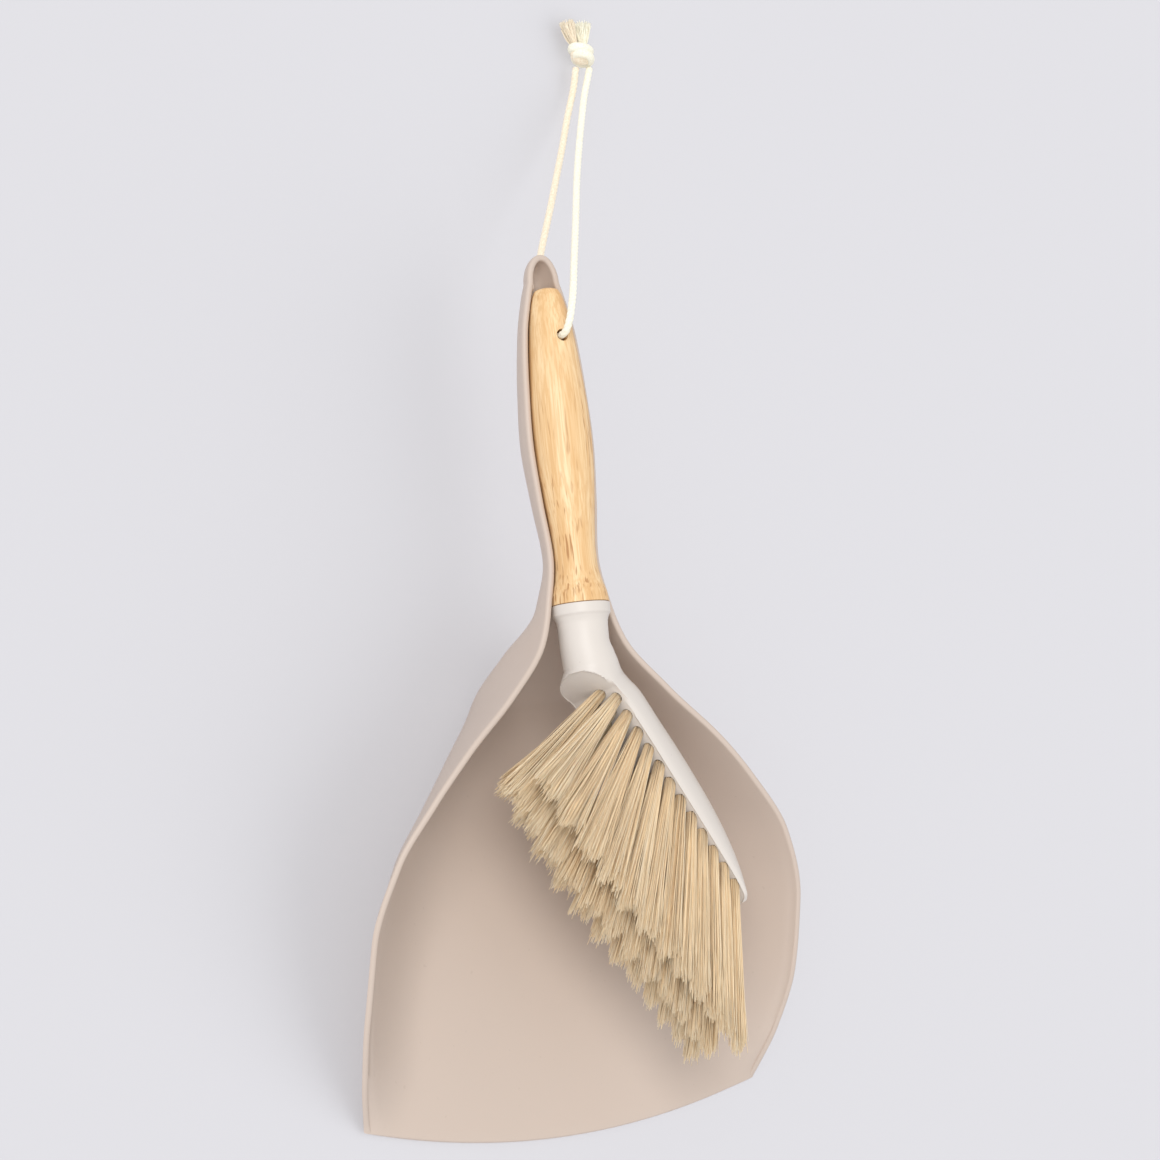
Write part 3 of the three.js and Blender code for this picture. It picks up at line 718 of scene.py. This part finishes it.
def head_section(x, y, thick, back, high, degrees):
    """One section of the head: round in the neck, squarer in front and flatter behind in the block."""
    angle = math.radians(degrees)
    ring = []
    for side in range(HEAD_SIDES):
        t = side / HEAD_SIDES * 2 * math.pi
        c, s = math.cos(t), math.sin(t)
        block = min(1, max(0, (degrees - BLOCK_TURN) / BLOCK_TURN))
        square = 2 + ((FRONT_SQUARENESS if c < 0 else BACK_SQUARENESS) - 2) * block
        reach = thick + FRONT_REACH * block if c < 0 else back
        across = reach * math.copysign(abs(c) ** (2 / square), c)
        up = high * math.copysign(abs(s) ** (2 / square), s)
        point = np.array((x + across * math.cos(angle), y + across * math.sin(angle), BRUSH_Z + up))
        ring.append(point)
    return ring


def flatten_face(point):
    """Brings a point that stands in front of the tuft face back to it, softly at its edge."""
    past = max(0.0, -float(np.dot(point - FIRST_ROOT, ALONG_ROWS)) - HEEL_START)
    bulge = HEEL_SLOPE * (past + HEEL_EASE * past ** 0.5)
    out = float(np.dot(point - FIRST_ROOT, FACE_OUT)) - bulge
    if out < -FACE_ROUND:
        return point
    soft = -FACE_ROUND / 2 if out > FACE_ROUND else out - (out + FACE_ROUND) ** 2 / (4 * FACE_ROUND)
    return point + FACE_OUT * (min(soft, 0) - out)


def head_body():
    """Collar, neck and block in one, with the tuft face flattened."""
    table = [(i, *row) for i, row in enumerate(HEAD_SECTIONS)]
    rings = []
    for i in np.linspace(0, len(table) - 1, 210):
        values = [hermite(table, i, column) for column in range(1, 7)]
        rings.append(head_section(*values))
    first, last = rings[0], rings[-1]
    middle = np.mean(last, axis=0)
    for share, ahead in ((0.93, 0.5), (0.8, 0.9), (0.55, 1.25), (0.25, 1.4)):
        rings.append([middle + (p - middle) * share + ALONG_ROWS * ahead for p in last])
    hub = np.mean(first, axis=0)
    rings.insert(0, [hub + (p - hub) * 0.97 + np.array((0, 0.35, 0)) for p in first])
    rings = [[flatten_face(p).tolist() for p in ring] for ring in rings]
    points, faces = capped(rings)
    made = mesh_object("brush_head_body", points, faces, [head_plastic, hole_painted_shade])
    tidy(made, 0.01)
    return made


TUFT_ROWS = (
    ("top", ROW_GAP, 0, 12, 11, 57, 69),
    ("middle", 0, -0.5, 12, 0, 60, 71),
    ("bottom", -ROW_GAP, 0, 12, -11, 52, 69),
)
FAN_START, FAN_END, FAN_EASE, LAST_PLACE, ROWS_DRAW_IN = 50, 12, 2.1, 11, 0.15
TUFT_HOLE_RADIUS, TUFT_ROOT_RADIUS = 2.5, 2.25
HOLE_SPAN = (-2.2, 4.0)      # a hole's cutter reaches from inside the block to in front of it


def tuft_line(row, index):
    """Root, direction, length and fan angle of a tuft."""
    _, height, start, _, lean, short, long = row
    spot = start + index
    u = min(1, max(0, spot / LAST_PLACE))
    fan = math.radians(FAN_END + (FAN_START - FAN_END) * (1 - u) ** FAN_EASE)
    length = short + (long - short) * (1 - (1 - u) ** 2)
    root = FIRST_ROOT + ALONG_ROWS * spot * ROW_PITCH + FACE_UP * height * (1 - ROWS_DRAW_IN * u)
    flat = math.sqrt(length ** 2 - lean ** 2)
    way = np.array((-math.sin(fan) * flat, -math.cos(fan) * flat, lean))
    return root, way / np.linalg.norm(way), length, fan


def hole_cutters():
    """One mesh of all the tufts' holes."""
    points, faces = [], []
    for row in TUFT_ROWS:
        for index in range(row[3]):
            root, way, _, _ = tuft_line(row, index)
            side = np.cross(way, (0, 0, 1.0))
            side /= np.linalg.norm(side)
            up = np.cross(side, way)
            rings = []
            for reach in HOLE_SPAN:
                t = around(24)
                rings.append((root + way * reach + TUFT_HOLE_RADIUS * (
                    np.outer(np.cos(t), side) + np.outer(np.sin(t), up))).tolist())
            more, their = capped(rings)
            first = len(points)
            points += more
            faces += [tuple(first + i for i in face) for face in their]
    # The cutter carries the darker hole material, painted shade, onto the walls of the holes.
    cutter = mesh_object("holes", points, faces, [hole_painted_shade])
    tidy(cutter, 0.001)
    return cutter


head = head_body()
cut(head, hole_cutters())
crease(head, 42)
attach(head, "brush")
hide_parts("brush_head")

# ---- Bamboo handle --------------------------------------------------------------------------
BAMBOO_PROFILE = [
    (205, 12.2), (209, 11.7), (215, 9.9), (221, 9.0), (227, 8.9), (236, 9.5), (249, 10.8),
    (262, 11.9), (274, 12.3), (286, 12.1), (297, 11.4), (308, 10.5), (319, 9.3), (328, 7.9),
    (334, 6.5), (336.6, 5.2), (337.8, 3.2),
]


def bamboo_handle():
    """The turned handle, with its end rounded over."""
    sides = 96
    t = around(sides)
    stations = [(204.95, 11.9), (205.15, 12.15)]
    for y in np.linspace(205.4, 336.2, 150):
        stations.append((y, hermite(BAMBOO_PROFILE, y, 1)))
    for angle in np.linspace(0, math.pi / 2, 10)[1:-1]:
        stations.append((336.2 + 1.7 * math.sin(angle), 1.4 + 4.05 * math.cos(angle)))
    stations.append((337.9, 1.2))
    rings = [np.stack([r * np.cos(t), np.full(sides, y), BRUSH_Z + r * np.sin(t)], axis=1).tolist()
             for y, r in stations]
    points, faces = capped(rings)
    made = mesh_object("bamboo_handle_body", points, faces, bamboo)
    tidy(made, 0.01)
    return made


handle = bamboo_handle()
cut(handle, drill(HOLE_RADIUS, 0, CORD_Y, BRUSH_Z - 20, BRUSH_Z + 20))
crease(handle, 40)
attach(handle, "brush")
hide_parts("bamboo_handle")

glue = Shader("joint_line", linear(120, 84, 52), 0.7, 0.2).material


def joint_line():
    """The thin dark seam between collar and bamboo."""
    t = around(96)
    rings = [np.stack([r * np.cos(t), np.full(96, y), BRUSH_Z + r * np.sin(t)], axis=1).tolist()
             for y, r in ((204.5, 11.95), (204.75, 12.02), (205.05, 12.02), (205.3, 11.95))]
    points, faces = capped(rings)
    return mesh_object("joint_line", points, faces, glue)


seam = joint_line()
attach(seam, "brush")

# ---- Tufts ----------------------------------------------------------------------------------
FILAMENTS = 190
FILAMENT_STEPS = 5
FILAMENT_SIDES = 3
FILAMENT_RADIUS, FILAMENT_TAPER = 0.21, 0.35
TUFT_SHARE_OF_SPACING, TUFT_LEAST_WIDTH, TUFT_TALL = 0.56, 3.0, 3.9
TUFT_OPENING = 1.15         # how late along its length a tuft opens
ROOT_DEPTH = 2.0            # the filaments start this deep in their hole
TRIM_SCATTER, EDGE_SHORTER, TRIM_WAVE = 1.3, 2.2, 1.6
STRAY_SHARE, STRAY_OUT, STRAY_LONGER = 0.05, 1.4, 2.2
LEAN_SCATTER = 0.35
# Filament roots are darkened as painted shade; the tips are a little paler.
MIDDLE_TONE, TONE_SCATTER, ROOT_PAINTED_SHADE, TIP_PALER = 0.56, 0.17, 0.22, 0.08


def within_one(value):
    """The value, held to 0 to 1."""
    return min(1, max(0, value))


def tuft(row, index):
    """A bundle of plant fibres, round at its root and spreading to a ragged end."""
    root, way, length, fan = tuft_line(row, index)
    next_root, next_way, next_length, _ = tuft_line(row, index + 1)
    gap = (next_root + next_way * next_length) - (root + way * length)
    spacing = abs(gap[0] * math.cos(fan) - gap[1] * math.sin(fan))
    wide = max(TUFT_LEAST_WIDTH, TUFT_SHARE_OF_SPACING * spacing)
    side = np.array((math.cos(fan), -math.sin(fan), 0))
    up = np.cross(way, side)
    up /= np.linalg.norm(up)
    points, faces, tones = [], [], []
    body_tone = random.uniform(-0.07, 0.07)
    wave = random.uniform(0, 2 * math.pi, 3)
    for _ in range(FILAMENTS):
        angle = random.uniform(0, 2 * math.pi)
        far = math.sqrt(random.uniform(0, 1))
        a, b = far * math.cos(angle), far * math.sin(angle)
        ragged = random.normal(0, TRIM_SCATTER) - EDGE_SHORTER * far ** 4
        ragged += TRIM_WAVE * math.sin(a * 5 + wave[0])
        reach = length + ragged
        stray = random.normal(0, LEAN_SCATTER, 2)
        if random.uniform() < STRAY_SHARE:
            stray = stray + random.normal(0, STRAY_OUT, 2)
            reach += random.uniform(0, STRAY_LONGER)
        clump = 0.35 * math.sin(a * 9 + wave[1]), 0.25 * math.sin(b * 7 + wave[2])
        bow = random.normal(0, LEAN_SCATTER, 2)
        tone = within_one(MIDDLE_TONE + body_tone + random.normal(0, TONE_SCATTER))
        first = len(points)
        spin = random.uniform(0, 2 * math.pi)
        for k in range(FILAMENT_STEPS + 1):
            s = k / FILAMENT_STEPS
            at = -ROOT_DEPTH + (reach + ROOT_DEPTH) * s
            spread = s ** TUFT_OPENING
            x = a * (TUFT_ROOT_RADIUS * (1 - spread) + wide * spread) + (stray[0] + clump[0]) * s ** 2
            z = b * (TUFT_ROOT_RADIUS * (1 - spread) + TUFT_TALL * spread) + (stray[1] + clump[1]) * s ** 2
            x += bow[0] * math.sin(s * math.pi)
            z += bow[1] * math.sin(s * math.pi)
            middle = root + way * at + side * x + up * z
            thick = FILAMENT_RADIUS * (1 - FILAMENT_TAPER * s)
            # Darker towards the root: painted shade where the filaments go into the hole.
            shade = within_one(tone - ROOT_PAINTED_SHADE * (1 - s) ** 6 + TIP_PALER * s ** 4)
            for corner in range(FILAMENT_SIDES):
                t = spin + corner / FILAMENT_SIDES * 2 * math.pi
                points.append(middle + side * thick * math.cos(t) + up * thick * math.sin(t))
                tones.append(shade)
        sheath = grid_faces(FILAMENT_STEPS + 1, FILAMENT_SIDES, True)
        faces += [tuple(first + i for i in face) for face in sheath]
        last = first + FILAMENT_STEPS * FILAMENT_SIDES
        faces.append((first + 2, first + 1, first))
        faces.append((last, last + 1, last + 2))
    name = f"fibres_{row[0]}_{index + 1:02d}"
    made = mesh_object(name, points, faces, bristle)
    attribute = made.data.attributes.new("tone", "FLOAT", "POINT")
    attribute.data.foreach_set("value", tones)
    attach(made, "brush")
    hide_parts(f"tuft_{row[0]}_{index + 1:02d}")


for tuft_row in TUFT_ROWS:
    for tuft_index in range(tuft_row[3]):
        tuft(tuft_row, tuft_index)

# ---- Floor and light ------------------------------------------------------------------------
floor_shader = Shader("floor", linear(170, 169, 172), 1.0, 0.0)
bpy.ops.mesh.primitive_plane_add(size=12, location=(0, 0, -0.0004))
floor = bpy.context.object
floor.name = "floor"
floor.data.materials.append(floor_shader.material)


def sun(name, towards_light, strength, angle, color=(1, 1, 1)):
    """A sun that shines from the given direction, its angle in degrees."""
    data = bpy.data.lights.new(name, "SUN")
    data.energy = strength
    data.angle = math.radians(angle)
    data.color = color
    made = bpy.data.objects.new(name, data)
    made.rotation_euler = Vector(towards_light).to_track_quat("Z", "Y").to_euler()
    bpy.context.scene.collection.objects.link(made)
    return made


def keep_off(light, objects):
    """The light doesn't reach these objects."""
    group = bpy.data.collections.new(light.name + "_receivers")
    for item in objects:
        group.objects.link(item)
    for entry in group.collection_objects:
        entry.light_linking.link_state = "EXCLUDE"
    light.light_linking.receiver_collection = group


def only_on(light, objects):
    """The light reaches these objects alone."""
    group = bpy.data.collections.new(light.name + "_receivers")
    for item in objects:
        group.objects.link(item)
    light.light_linking.receiver_collection = group


keep_off(sun("key", (-0.5, 0.32, 1.0), 1.35, 36, (1.0, 0.99, 0.97)), [floor])
keep_off(sun("low_fill", (-0.3, -0.8, 0.7), 0.3, 60), [floor])
only_on(sun("floor_light", (1.0, -0.5, 1.05), 1.15, 65), [floor])
even = sun("floor_even", (0, 0, 1), 2.9, 10)
even.data.use_shadow = False
only_on(even, [floor])
world = bpy.data.worlds.new("world")
bpy.context.scene.world = world
world.use_nodes = True
world.node_tree.nodes["Background"].inputs["Color"].default_value = (0.97, 0.98, 1.0, 1)
world.node_tree.nodes["Background"].inputs["Strength"].default_value = 0.78
bpy.context.scene.view_settings.view_transform = "Standard"
